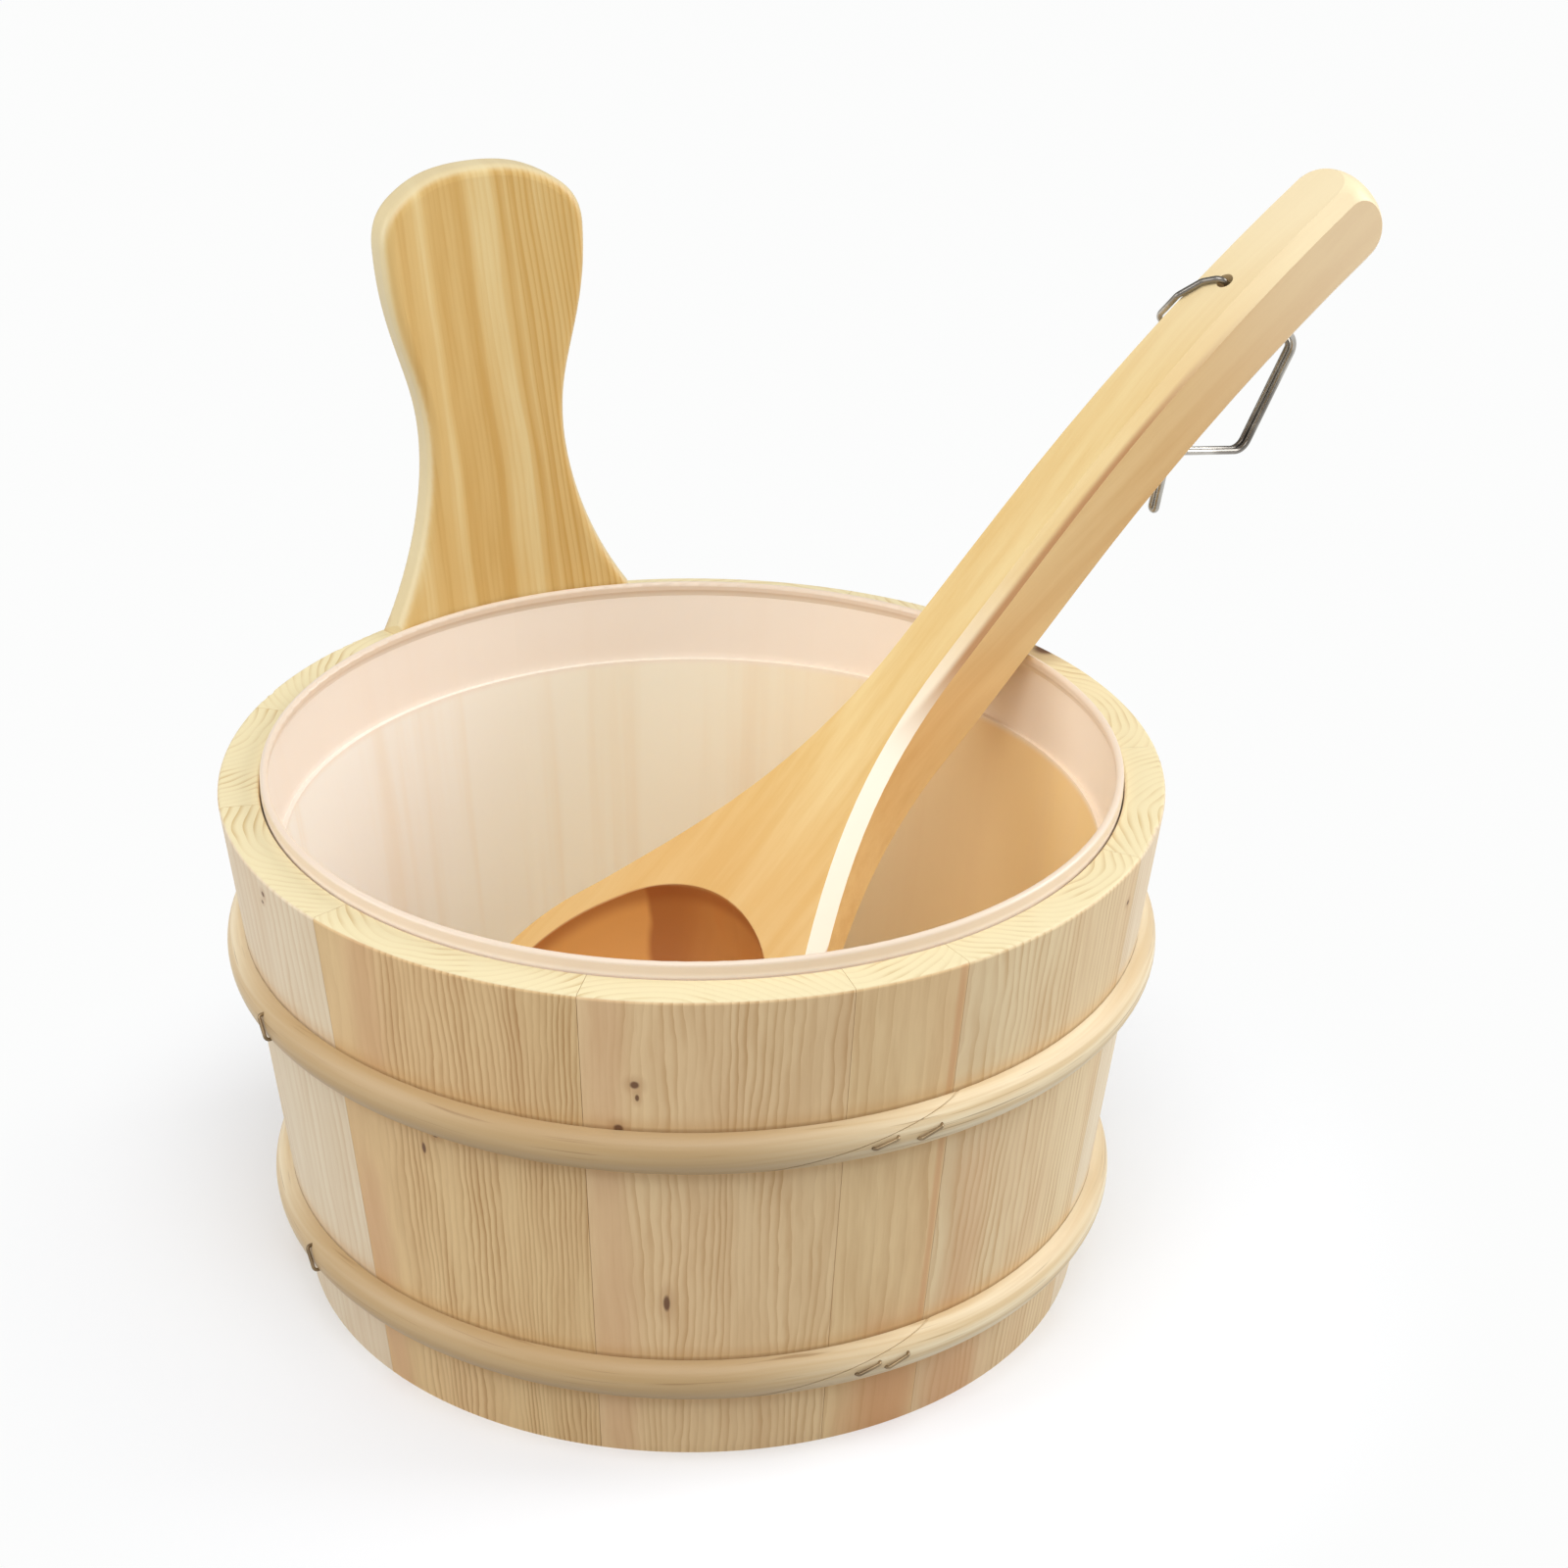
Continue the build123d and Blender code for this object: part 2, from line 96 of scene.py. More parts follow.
class Graph:
    """One material's node tree, with short calls that add a node and link its inputs."""

    def __init__(self, name: str) -> None:
        """Start an empty material.

        Args:
            name: the material's name.
        """
        self.material = bpy.data.materials.new(name)
        self.material.use_nodes = True
        self.tree = self.material.node_tree
        self.tree.nodes.clear()

    def add(self, kind: str, inputs: dict, **settings) -> bpy.types.Node:
        """Add a node.

        Args:
            kind: the node's type name without "ShaderNode".
            inputs: input name or number to a value or to another node's output.
            settings: properties of the node.

        Returns:
            The node.
        """
        node = self.tree.nodes.new("ShaderNode" + kind)
        for name, value in settings.items():
            setattr(node, name, value)
        for name, value in inputs.items():
            socket = node.inputs[name]
            if isinstance(value, bpy.types.NodeSocket):
                self.tree.links.new(value, socket)
            else:
                if socket.type == "RGBA" and len(value) == 3:
                    value = (*value, 1.0)
                socket.default_value = value
        return node

    def coordinates(self, what: Reading = Reading.PLACE) -> Socket:
        """Return the point's place on the object, or the way that its surface faces."""
        return self.add("TexCoord", {}).outputs[what.value]

    def maths(self, operation: str, a: Value, b: Value = 0.0, clamp: bool = False) -> Socket:
        """Combine two numbers.

        Args:
            operation: the Math node's operation.
            a, b: the numbers.
            clamp: keep the result between 0 and 1.

        Returns:
            The result.
        """
        return self.add("Math", {0: a, 1: b}, operation=operation, use_clamp=clamp).outputs[0]

    def plus(self, a: Value, b: Value, clamp: bool = False) -> Socket:
        """Return the sum of two numbers, kept between 0 and 1 if clamped."""
        return self.maths("ADD", a, b, clamp)

    def minus(self, a: Value, b: Value, clamp: bool = False) -> Socket:
        """Return one number less another, kept between 0 and 1 if clamped."""
        return self.maths("SUBTRACT", a, b, clamp)

    def times(self, a: Value, b: Value) -> Socket:
        """Return the product of two numbers."""
        return self.maths("MULTIPLY", a, b)

    def swing(self, noise: Socket, middle: float, share: float) -> Socket:
        """Return noise less its middle, times a share."""
        return self.times(self.minus(noise, middle), share)

    def radius(self, x: Socket, y: Socket) -> Socket:
        """Return how far a place is from an axis, from two numbers."""
        return self.maths("SQRT", self.plus(self.times(x, x), self.times(y, y)))

    def vector(self, operation: str, a: Value, b: Value = (0.0, 0.0, 0.0)) -> bpy.types.Node:
        """Combine two vectors.

        Args:
            operation: the Vector Math node's operation.
            a, b: the vectors.

        Returns:
            The node.
        """
        return self.add("VectorMath", {0: a, 1: b}, operation=operation)

    def along(self, place: Socket, direction: Sequence[float]) -> Socket:
        """Return how far a place lies along a direction."""
        return self.vector("DOT_PRODUCT", place, tuple(direction)).outputs["Value"]

    def split(self, place: Socket) -> tuple[Socket, Socket, Socket]:
        """Return the X, Y and Z of a vector."""
        node = self.add("SeparateXYZ", {0: place})
        return node.outputs[0], node.outputs[1], node.outputs[2]

    def join(self, x: Value, y: Value, z: Value) -> Socket:
        """Return a vector made of three numbers."""
        return self.add("CombineXYZ", {0: x, 1: y, 2: z}).outputs[0]

    def scaled(self, place: tuple[Value, Value, Value], scale: Sequence[float]) -> Socket:
        """Return a vector made of three numbers, each times its own scale."""
        return self.vector("MULTIPLY", self.join(*place), tuple(scale)).outputs[0]

    def noise(self, place: Socket, detail: float = 3.0, rough: float = 0.5, twist: float = 0.0) -> Socket:
        """Return smooth noise from 0 to 1 at a place that is already scaled.

        Args:
            place: where.
            detail: number of finer layers.
            rough: how much the finer layers count.
            twist: distortion.

        Returns:
            The noise.
        """
        inputs = {"Vector": place, "Scale": 1.0, "Detail": detail, "Roughness": rough, "Distortion": twist}
        return self.add("TexNoise", inputs).outputs["Fac"]

    def wave(self, place: Socket, twist: float) -> Socket:
        """Return saw-toothed bands, like the growth lines of wood.

        Args:
            place: where, already scaled.
            twist: how much the bands waver.

        Returns:
            0 to 1 across each band.
        """
        inputs = {"Vector": place, "Scale": 1.0, "Distortion": twist, "Detail": 2.0, "Detail Scale": 1.2}
        return self.add("TexWave", inputs, wave_type="BANDS", wave_profile="SAW").outputs["Fac"]

    def range(self, value: Value, low: float, high: float, to_low: float = 0.0, to_high: float = 1.0,
              ease: Ease = Ease.SMOOTH) -> Socket:
        """Map a number from one range to another, and hold it beyond the ends.

        Args:
            value: the number.
            low, high: the two ends that it is mapped from.
            to_low, to_high: what they turn into.
            ease: how it is mapped between them.

        Returns:
            The result.
        """
        inputs = {"Value": value, "From Min": low, "From Max": high, "To Min": to_low, "To Max": to_high}
        return self.add("MapRange", inputs, interpolation_type=ease.value).outputs[0]

    def ramp(self, value: Socket, stops: Sequence[tuple[float, Colour]]) -> Socket:
        """Return a colour that eases from stop to stop.

        Args:
            value: 0 to 1.
            stops: each a place from 0 to 1 and a colour.

        Returns:
            The colour.
        """
        node = self.add("ValToRGB", {0: value})
        node.color_ramp.interpolation = "EASE"
        marks = node.color_ramp.elements
        while len(marks) < len(stops):
            marks.new(0.5)
        for mark, (spot, colour) in zip(marks, stops):
            mark.position = spot
            mark.color = (*colour, 1.0)
        return node.outputs[0]

    def mix(self, factor: Socket, a: Value, b: Value) -> Socket:
        """Mix two colours.

        Args:
            factor: 0 gives the first, 1 the second.
            a, b: the colours.

        Returns:
            The colour.
        """
        return self.add("Mix", {0: factor, 6: a, 7: b}, data_type="RGBA").outputs[2]

    def bump(self, height: Socket, distance: float, strength: float) -> Socket:
        """Return a normal disturbed by a height, with the distance in metres."""
        node = self.add("Bump", {"Height": height, "Distance": distance, "Strength": strength})
        return node.outputs["Normal"]

    def finish(self, colour: Value, roughness: float, normal: Optional[Socket] = None,
               **inputs) -> bpy.types.Material:
        """Close the tree with a Principled shader.

        Args:
            colour: base colour.
            roughness: roughness.
            normal: bumped normal, if any.
            inputs: other inputs of the shader, with spaces written as underscores.

        Returns:
            The material.
        """
        values = {"Base Color": colour, "Roughness": roughness}
        values.update({name.replace("_", " "): value for name, value in inputs.items()})
        if normal is not None:
            values["Normal"] = normal
        shader = self.add("BsdfPrincipled", values)
        self.add("OutputMaterial", {"Surface": shader.outputs[0]})
        return self.material


@dataclass(frozen=True)
class Knot:
    """A small knot or pin mark in the wall.

    Attributes:
        azimuth: where round the pail, in degrees.
        height: how high, in metres.
        radius: its size, in metres.
        stretch: how many times longer than wide it is.
        core, halo: colours of the mark and of the stained wood round it.
    """

    azimuth: float
    height: float
    radius: float
    stretch: float = 1.0
    core: Colour = srgb(104, 64, 34)
    halo: Colour = srgb(176, 124, 76)

    def place(self) -> Triple:
        """Return the knot's middle on the wall, in the part's frame."""
        radius = FOOT_R + (MOUTH_R - FOOT_R) * self.height / PAIL_H
        way = level_way(self.azimuth)
        return PAIL_X + radius * way[0], PAIL_Y + radius * way[1], self.height

    def paint(self, g: Graph, place: Socket, colour: Value) -> Socket:
        """Lay the knot and its warm halo over a colour.

        Args:
            g: the material being built.
            place: where on the piece.
            colour: what lies under the knot.

        Returns:
            The colour with the knot.
        """
        offset = g.vector("SUBTRACT", place, self.place()).outputs[0]
        flat = g.vector("MULTIPLY", offset, (1.0, 1.0, 1.0 / self.stretch)).outputs[0]
        distance = g.vector("LENGTH", flat).outputs["Value"]
        halo = g.range(distance, self.radius * 0.9, self.radius * 3.2, 0.32, 0.0)
        core = g.range(distance, self.radius * 0.55, self.radius * 1.15, 0.92, 0.0)
        return g.mix(core, g.mix(halo, colour, self.halo), self.core)


@dataclass(frozen=True)
class Blush:
    """A warm, lineless patch that runs up a stave.

    Attributes:
        across: its middle, in metres from the stave's middle, counter-clockwise.
        width: half its width, in metres.
        low, high: heights between which it is strongest, in metres.
        share: how strong it is.
    """

    across: float
    width: float
    low: float
    high: float
    share: float


@dataclass(frozen=True)
class StaveWood:
    """Planed pine of one stave: fine upright growth lines, and rings on the sawn rim.

    Attributes:
        name: the material's name.
        middle: azimuth of the stave's middle, in degrees.
        seed: shifts the pattern, so that no two staves are alike.
        lines: growth lines per metre across the stave.
        spread: how much closer the lines stand on one side than on the other.
        pith_azimuth, pith_radius: middle of the end grain's rings, in degrees and in metres from the axis.
        clear: part of the stave, as two places across it in metres, over which the lines fade in.
        strength: how strong the lines are.
        pale, deep: colour between the growth lines and in them.
        warm: colour of the patches.
        stain, grime: colours beside each hoop edge: a warm band that is partly a stained tint and partly
            painted light reflected off the hoop, and a thin painted contact shade in the corner against the
            hoop.
        patches: where the warm patches are.
        rim_pale, rim_deep: colours of the end grain.
        knots: small dark marks.
    """

    name: str
    middle: float
    seed: float
    lines: float
    spread: float
    pith_azimuth: float
    pith_radius: float = 0.10
    clear: Span = (-0.06, -0.05)
    strength: float = 0.62
    pale: Colour = srgb(240, 210, 158)
    deep: Colour = srgb(196, 150, 94)
    warm: Colour = srgb(212, 163, 120)
    # A warm band beside the hoops, partly painted reflected light, and painted contact shade at their edges
    stain_and_bounce_light: Colour = srgb(204, 156, 96)
    hoop_contact_shade: Colour = srgb(128, 92, 54)
    patches: tuple[Blush, ...] = ()
    rim_pale: Colour = srgb(236, 222, 180)
    rim_deep: Colour = srgb(206, 176, 120)
    knots: tuple[Knot, ...] = ()

    def side_colour(self, g: Graph, across: Socket, depth: Socket, height: Socket) -> tuple[Socket, Socket]:
        """Colour the planed faces.

        Args:
            g: the material being built.
            across, depth, height: the place, in metres from the stave's middle, the axis and the floor.

        Returns:
            The colour, and the growth lines from 0 to 1.
        """
        seeded = g.plus(across, self.seed)
        drift = g.noise(g.scaled((seeded, self.seed, height), (34, 1, 5)), detail=1.0)
        wander = g.noise(g.scaled((seeded, self.seed, height), (110, 1, 42)))
        bend = g.times(g.times(across, across), self.spread)
        bend = g.plus(bend, g.times(drift, 0.016))
        bend = g.plus(bend, g.times(wander, 0.0034))
        path = g.plus(seeded, bend)
        growth = g.wave(g.scaled((path, 0.0, height), (self.lines * WAVE_PERIOD, 1, 3)), twist=0.5)
        fade = g.range(g.noise(g.scaled((seeded, self.seed, height), (120, 1, 14))), 0.34, 0.64)
        strength = g.plus(0.22, g.times(fade, 0.78))
        line = g.times(g.range(growth, 0.3, 1.0), strength)
        line = g.times(line, g.range(across, self.clear[0], self.clear[1], 0.12, 1.0))
        streak = g.range(g.noise(g.scaled((path, depth, height), (260, 200, 6))), 0.32, 0.7)
        fibre = g.noise(g.scaled((seeded, depth, height), (1700, 900, 40)), rough=0.6)
        cloud = g.range(g.noise(g.scaled((seeded, self.seed, height), (30, 1, 12)), detail=2.0), 0.35, 0.7)
        tone = g.times(line, self.strength)
        tone = g.plus(tone, g.times(streak, 0.26))
        tone = g.plus(tone, g.swing(fibre, 0.5, 0.22), clamp=True)
        colour = g.mix(tone, self.pale, self.deep)
        colour = g.mix(g.times(cloud, 0.16), colour, self.warm)
        ragged = g.noise(g.scaled((seeded, self.seed, height), (60, 1, 22)))
        for patch in self.patches:
            shift = g.plus(across, g.swing(ragged, 0.5, patch.width))
            aside = g.maths("ABSOLUTE", g.minus(shift, patch.across))
            level = g.plus(height, g.swing(ragged, 0.5, 0.03))
            sides = g.range(aside, patch.width * 0.2, patch.width * 1.4, 1.0, 0.0)
            foot = g.range(level, patch.low - 0.012, patch.low + 0.004)
            head = g.range(level, patch.high + 0.02, patch.high - 0.01)
            share = g.times(g.times(sides, foot), head)
            colour = g.mix(g.times(share, patch.share), colour, self.warm)
        face = g.plus(FOOT_R, g.times(height, (MOUTH_R - FOOT_R) / PAIL_H))
        outside = g.range(g.minus(face, depth), 0.006, 0.003)
        # Beside each hoop edge: a warm band, partly painted light reflected off the hoop, and a thin painted
        # contact shade
        for edge in (*LOWER_HOOP, *UPPER_HOOP):
            away = g.maths("ABSOLUTE", g.minus(height, edge))
            glow = g.range(away, 0.0005, 0.006, 0.34, 0.0)
            contact_shade = g.range(away, 0.0002, 0.0016, 0.45, 0.0)
            colour = g.mix(g.times(glow, outside), colour, self.stain_and_bounce_light)
            colour = g.mix(g.times(contact_shade, outside), colour, self.hoop_contact_shade)
        return colour, line

    def rim_colour(self, g: Graph, place: Socket) -> Socket:
        """Colour the sawn end grain, in rings about the tree's pith.

        Args:
            g: the material being built.
            place: where on the piece.

        Returns:
            The colour.
        """
        way = level_way(self.pith_azimuth)
        pith = (PAIL_X + self.pith_radius * way[0], PAIL_Y + self.pith_radius * way[1], 0.0)
        spot = g.vector("MULTIPLY", g.vector("SUBTRACT", place, pith).outputs[0], (1.0, 1.0, 0.0)).outputs[0]
        warp = g.noise(g.vector("MULTIPLY", spot, (45, 45, 0)).outputs[0], detail=1.0)
        away = g.plus(g.vector("LENGTH", spot).outputs["Value"], g.times(warp, 0.007))
        growth = g.wave(g.scaled((away, 0.0, 0.0), (400 * WAVE_PERIOD, 1, 1)), twist=0.3)
        patch = g.range(g.noise(g.vector("MULTIPLY", spot, (38, 38, 0)).outputs[0], detail=2.0), 0.42, 0.68)
        strength = g.plus(0.14, g.times(patch, 0.7))
        ring = g.times(g.range(growth, 0.45, 1.0), strength)
        return g.mix(ring, self.rim_pale, self.rim_deep)

    def material(self) -> bpy.types.Material:
        """Build the material.

        Returns:
            The material.
        """
        g = Graph(self.name)
        place = g.coordinates()
        out = level_way(self.middle)
        left = (-out[1], out[0], 0.0)
        offset = g.vector("SUBTRACT", place, PAIL_AXIS).outputs[0]
        x, y, height = g.along(offset, out), g.along(offset, left), g.split(place)[2]
        across = g.times(g.maths("ARCTAN2", y, x), 0.5 * (MOUTH_R + FOOT_R))
        depth = g.radius(x, y)
        side, line = self.side_colour(g, across, depth, height)
        upward = g.split(g.coordinates(Reading.FACING))[2]
        colour = g.mix(g.range(g.maths("ABSOLUTE", upward), 0.45, 0.85), side, self.rim_colour(g, place))
        for knot in self.knots:
            colour = knot.paint(g, place, colour)
        fibre = g.noise(g.scaled((across, depth, height), (1700, 900, 40)), rough=0.6)
        relief = g.plus(g.times(fibre, 0.6), g.times(line, -0.5))
        return g.finish(colour, roughness=0.55, normal=g.bump(relief, distance=0.0001, strength=0.5))


@dataclass(frozen=True)
class PaddleWood:
    """Flat-sawn pine of the handle stave: broad, soft, straight bands that fan out downwards.

    Attributes:
        name: the material's name.
        honey, gold, cream: colours of the darkest, middle and palest bands.
        edge_tone: colour of the rounded edges and side faces: paler where the fibres are cut across, and a
            painted highlight on the side faces.
        bands: places across the paddle, in metres from its middle, each with a tone from 0 to 1.
        half_width: half the width over which the bands lie, in metres.
        lean: how far the bands lean, as run over rise.
        waist: height at which the places hold, in metres.
        knot: crack at the foot of the paddle.
    """

    name: str
    honey: Colour = srgb(206, 165, 92)
    gold: Colour = srgb(219, 185, 119)
    cream: Colour = srgb(231, 208, 152)
    edge_tone: Colour = srgb(224, 209, 168)
    # The dark stop at -0.0225, by the left edge, is painted shade along that edge
    bands: tuple[tuple[float, float], ...] = (
        (-0.0400, 0.40), (-0.0300, 0.75), (-0.0225, 0.25), (-0.0190, 0.45), (-0.0150, 0.80), (-0.0120, 0.20),
        (-0.0060, 0.30), (-0.0015, 0.12), (0.0020, 0.70), (0.0075, 0.85), (0.0110, 0.15), (0.0128, 0.60),
        (0.0150, 0.20), (0.0172, 0.55), (0.0195, 0.25), (0.0225, 0.60), (0.0300, 0.35), (0.0400, 0.55),
    )
    half_width: float = 0.045
    lean: float = -0.07
    waist: float = 0.215
    knot: Knot = Knot(107.3, 0.1505, 0.0016)

    def material(self) -> bpy.types.Material:
        """Build the material.

        Returns:
            The material.
        """
        g = Graph(self.name)
        place = g.coordinates()
        across, outward, height = g.split(g.vector("SUBTRACT", place, PAIL_AXIS).outputs[0])
        rise = g.minus(height, self.waist)
        run = g.minus(across, g.times(rise, self.lean))
        slow = g.noise(g.scaled((run, outward, height), (16, 16, 9)), detail=1.0)
        quick = g.noise(g.scaled((run, outward, height), (120, 60, 12)), detail=2.0)
        path = g.plus(run, g.swing(slow, 0.5, 0.014))
        path = g.plus(path, g.swing(quick, 0.5, 0.0022))
        half = self.half_width
        stops = [((spot + half) / (2 * half), (tone, tone, tone)) for spot, tone in self.bands]
        tone = g.split(g.ramp(g.range(path, -half, half, ease=Ease.STRAIGHT), stops))[0]
        fine = g.wave(g.scaled((path, 0.0, height), (560 * WAVE_PERIOD, 1, 3)), twist=0.4)
        fine = g.times(g.range(fine, 0.35, 1.0), g.range(path, 0.006, 0.02, 0.08, 0.42))
        streak = g.noise(g.scaled((path, outward, height), (420, 200, 7)), rough=0.55)
        tone = g.plus(tone, g.swing(streak, 0.5, 0.5))
        tone = g.minus(tone, fine, clamp=True)
        colour = g.ramp(tone, [(0.0, self.honey), (0.45, self.gold), (1.0, self.cream)])
        facing = g.maths("ABSOLUTE", g.along(g.coordinates(Reading.FACING), (0.0, 1.0, 0.0)))
        # Pale rounded edges and side faces: partly cut fibres, partly a painted highlight on the side faces
        colour = g.mix(g.range(facing, 0.93, 0.5, 0.0, 0.8), colour, self.edge_tone)
        colour = self.knot.paint(g, place, colour)
        fibre = g.noise(g.scaled((run, outward, height), (1500, 900, 40)), rough=0.6)
        return g.finish(colour, roughness=0.42, normal=g.bump(fibre, distance=0.00006, strength=0.4))


@dataclass(frozen=True)
class BoardWood:
    """Plain-sawn pine of the bottom boards.

    Attributes:
        name: the material's name.
        pale, deep: colours between the growth lines and in them.
        bands: growth lines per metre across the board.
    """

    name: str
    pale: Colour = srgb(229, 204, 162)
    deep: Colour = srgb(196, 158, 110)
    bands: float = 180.0

    def material(self) -> bpy.types.Material:
        """Build the material.

        Returns:
            The material.
        """
        g = Graph(self.name)
        x, y, z = g.split(g.coordinates())
        sway = g.noise(g.scaled((x, y, z), (14, 5, 14)), detail=1.0)
        path = g.plus(x, g.times(sway, 0.03))
        growth = g.wave(g.scaled((path, y, z), (self.bands * WAVE_PERIOD, 3, 60)), twist=0.8)
        streak = g.noise(g.scaled((path, y, z), (240, 5, 200)))
        fibre = g.noise(g.scaled((x, y, z), (1500, 40, 900)), rough=0.6)
        line = g.times(g.range(growth, 0.3, 1.0), 0.6)
        tone = g.plus(line, g.times(g.range(streak, 0.35, 0.7), 0.3), clamp=True)
        colour = g.mix(tone, self.pale, self.deep)
        return g.finish(colour, roughness=0.6, normal=g.bump(fibre, distance=0.00008, strength=0.5))


@dataclass(frozen=True)
class HoopWood:
    """Smooth bent strip whose grain runs round the pail.

    Attributes:
        name: the material's name.
        low: height of the strip's lower edge, in metres.
        pale, deep: colours of the grain.
        front_shade: painted shade on the length of the strip that faces the front.
        shade_azimuth: where round the pail that length is, in degrees.
        pores_and_shade: colour of the pores and cracks along the grain.
    """

    name: str
    low: float
    pale: Colour = srgb(248, 234, 202)
    deep: Colour = srgb(222, 196, 152)
    front_shade: Colour = srgb(180, 148, 102)
    shade_azimuth: float = 216.0
    pores_and_shade: Colour = srgb(150, 116, 74)

    def material(self) -> bpy.types.Material:
        """Build the material.

        Returns:
            The material.
        """
        g = Graph(self.name)
        place = g.coordinates()
        x, y, z = g.split(g.vector("SUBTRACT", place, (PAIL_X, PAIL_Y, self.low)).outputs[0])
        lift = g.noise(g.scaled((x, y, z), (10, 10, 10)), detail=1.0)
        height = g.plus(z, g.times(lift, 0.006))
        streak = g.noise(g.scaled((x, y, height), (7, 7, 420)), rough=0.55)
        fibre = g.noise(g.scaled((x, y, height), (30, 30, 2600)), rough=0.6)
        cloud = g.noise(g.scaled((x, y, z), (30, 30, 60)), detail=2.0)
        streak = g.times(g.range(streak, 0.36, 0.64), 0.8)
        tone = g.plus(streak, g.times(cloud, 0.3), clamp=True)
        outward = g.vector("NORMALIZE", g.join(x, y, 0.0)).outputs[0]
        facing = g.along(outward, level_way(self.shade_azimuth))
        colour = g.mix(tone, self.pale, self.deep)
        # Painted shade on the length of the strip that faces the front
        colour = g.mix(g.range(facing, 0.50, 0.92, 0.0, 0.85), colour, self.front_shade)
        pore = g.noise(g.scaled((x, y, height), (26, 26, 1500)), detail=2.0)
        colour = g.mix(g.range(pore, 0.62, 0.74, 0.0, 0.6), colour, self.pores_and_shade)
        return g.finish(colour, roughness=0.45, normal=g.bump(fibre, distance=0.00008, strength=0.5))


@dataclass(frozen=True)
class LadleWood:
    """Honey-coloured wood of the ladle, with its grain along the handle and a darker bowl.

    Attributes:
        name: the material's name.
        centre: middle of the bowl's mouth.
        run, side, up: the ladle's directions: along the handle, across it, and out of the bowl.
        pale, deep: colours of the handle's grain.
        flank_pale, flank_deep: colours of the sawn sides.
        bowl_pale, bowl_shade: colours of the hollow: its own colour, and painted shade on its far side and
            just under its mouth.
        bowl_warm: colour of the clouds in the hollow.
        bevel_highlight: painted highlight, near white, on the bevel by the neck.
        pores_and_shade: painted shade in the dark line along the bevel, and on the shaded side.
        amber, tip: colours of the handle's top by the bowl, and of its far end.
        shade_azimuth: level direction in which the painted shade in the hollow deepens, in degrees.
    """

    name: str
    centre: Triple
    run: Triple
    side: Triple
    up: Triple
    pale: Colour = srgb(238, 212, 154)
    deep: Colour = srgb(220, 178, 104)
    flank_pale: Colour = srgb(246, 214, 154)
    flank_deep: Colour = srgb(216, 168, 102)
    bowl_pale: Colour = srgb(222, 162, 90)
    bowl_shade: Colour = srgb(150, 76, 28)
    bowl_warm: Colour = srgb(196, 118, 54)
    bevel_highlight: Colour = srgb(255, 247, 230)
    pores_and_shade: Colour = srgb(178, 124, 68)
    amber: Colour = srgb(226, 172, 96)
    tip: Colour = srgb(255, 244, 216)
    shade_azimuth: float = CAMERA_TURN

    def material(self) -> bpy.types.Material:
        """Build the material.

        Returns:
            The material.
        """
        g = Graph(self.name)
        place = g.vector("SUBTRACT", g.coordinates(), self.centre).outputs[0]
        q, w, t = g.along(place, self.run), g.along(place, self.side), g.along(place, self.up)
        normal = g.coordinates(Reading.FACING)
        facing_up, facing_side = g.along(normal, self.up), g.along(normal, self.side)
        sway = g.noise(g.scaled((q, w, t), (6, 9, 9)), detail=1.0)
        bend = g.plus(w, g.swing(sway, 0.5, 0.02))
        streak = g.noise(g.scaled((q, bend, t), (5, 210, 150)))
        broad = g.noise(g.scaled((q, bend, t), (4, 60, 50)), detail=2.0)
        fibre = g.noise(g.scaled((q, bend, t), (24, 1500, 1100)), detail=4.0, rough=0.6)
        streak, broad = g.times(g.range(streak, 0.35, 0.72), 0.34), g.times(g.range(broad, 0.35, 0.7), 0.42)
        tone = g.plus(streak, broad)
        tone = g.plus(tone, g.swing(fibre, 0.45, 0.3), clamp=True)
        top = g.mix(tone, self.pale, self.deep)
        head = g.range(q, 0.12, 0.05)
        top = g.mix(g.times(head, 0.45), top, self.amber)
        flank = g.mix(tone, self.flank_pale, self.flank_deep)
        colour = g.mix(g.range(facing_up, 0.35, 0.6), flank, top)
        # Painted highlight on the bevel by the neck
        neck = g.times(g.range(q, 0.028, 0.05), g.range(q, 0.19, 0.10))
        bevel = g.times(g.range(facing_side, 0.4, 0.55), g.range(facing_up, 0.4, 0.55))
        colour = g.mix(g.times(neck, bevel), colour, self.bevel_highlight)
        # Painted shade in a dark line along the bevel's inner edge
        length = g.times(g.range(q, 0.11, 0.15), g.range(q, 0.30, 0.22))
        crease_shade = g.times(g.range(w, 0.0112, 0.0128), length)
        colour = g.mix(g.times(g.times(crease_shade, bevel), 0.95), colour, self.pores_and_shade)
        colour = g.mix(g.range(q, 0.22, 0.33, 0.0, 0.5), colour, self.tip)
        # Painted shade on the shaded side face near the bowl
        under = g.times(g.range(facing_side, 0.75, 0.95), g.range(q, 0.05, 0.12))
        colour = g.mix(g.times(under, 0.25), colour, self.pores_and_shade)
        reach = g.radius(q, w)
        hollow = g.times(g.range(reach, 0.0516, 0.0508), g.range(t, 0.0060, 0.0040))
        outward = g.plus(g.times(q, g.along(normal, self.run)), g.times(w, g.along(normal, self.side)))
        hollow = g.times(hollow, g.maths("LESS_THAN", g.minus(outward, 0.004), 0.0))
        floor = g.times(g.range(facing_up, 0.0, 0.05), g.range(t, -0.0004, -0.0012))
        hollow = g.maths("MAXIMUM", hollow, floor)
        patch = g.noise(g.scaled((q, w, t), (26, 40, 30)), detail=2.0, twist=0.6)
